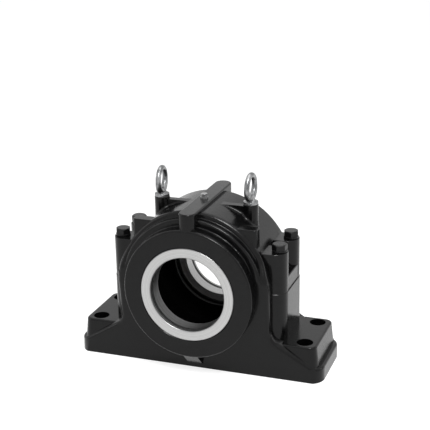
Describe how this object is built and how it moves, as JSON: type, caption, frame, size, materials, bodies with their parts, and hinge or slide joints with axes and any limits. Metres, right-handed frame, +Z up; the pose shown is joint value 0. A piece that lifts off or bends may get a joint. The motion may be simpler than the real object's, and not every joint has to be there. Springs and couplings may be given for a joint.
{
  "type": "split plummer block",
  "caption": "Split cast-iron plummer block housing on a holed foot, with a bolted cap, labyrinth rings and lifting eyebolts; the shaft bore is open.",
  "frame": {"origin": "middle of the foot's bearing face, half way along the shaft bore", "axes": "X along the foot, Y along the shaft axis from the front face to the rear face, Z up"},
  "size_m": [0.51, 0.234, 0.3875],
  "materials": {
    "black_paint": "semi-gloss black enamel over cast iron, fine orange peel",
    "painted_fastener": "semi-gloss black enamel over steel",
    "turned_steel": "satin, with fine concentric turning marks",
    "zinc": "bright zinc plate over a forging",
    "plug_steel": "dark oiled steel",
    "pin_steel": "ground steel",
    "rubber": "matt nitrile cord"
  },
  "bodies": {
    "housing": {"housing_base": "black_paint", "housing_cap": "black_paint", "cap_bolt_1": "painted_fastener", "cap_bolt_2": "painted_fastener", "cap_bolt_3": "painted_fastener", "cap_bolt_4": "painted_fastener", "spring_washer_1": "painted_fastener", "spring_washer_2": "painted_fastener", "spring_washer_3": "painted_fastener", "spring_washer_4": "painted_fastener", "locating_pin_1": "pin_steel", "locating_pin_2": "pin_steel", "eyebolt_left": "zinc", "eyebolt_right": "zinc", "grease_plug": "plug_steel", "drain_plug": "plug_steel"},
    "front_ring": {"labyrinth_ring_front": "turned_steel", "o_ring_front": "rubber"},
    "rear_ring": {"labyrinth_ring_rear": "turned_steel", "o_ring_rear": "rubber"}
  },
  "joints": [
    {"name": "front_ring_spin", "type": "hinge", "parent": "housing", "child": "front_ring", "pos_m": [0, -0.097, 0.17], "axis": [0, 1, 0], "continuous": true},
    {"name": "rear_ring_spin", "type": "hinge", "parent": "housing", "child": "rear_ring", "pos_m": [0, 0.097, 0.17], "axis": [0, 1, 0], "continuous": true}
  ],
  "couplings": [
    {"joint": "rear_ring_spin", "follows": "front_ring_spin", "ratio": 1}
  ]
}
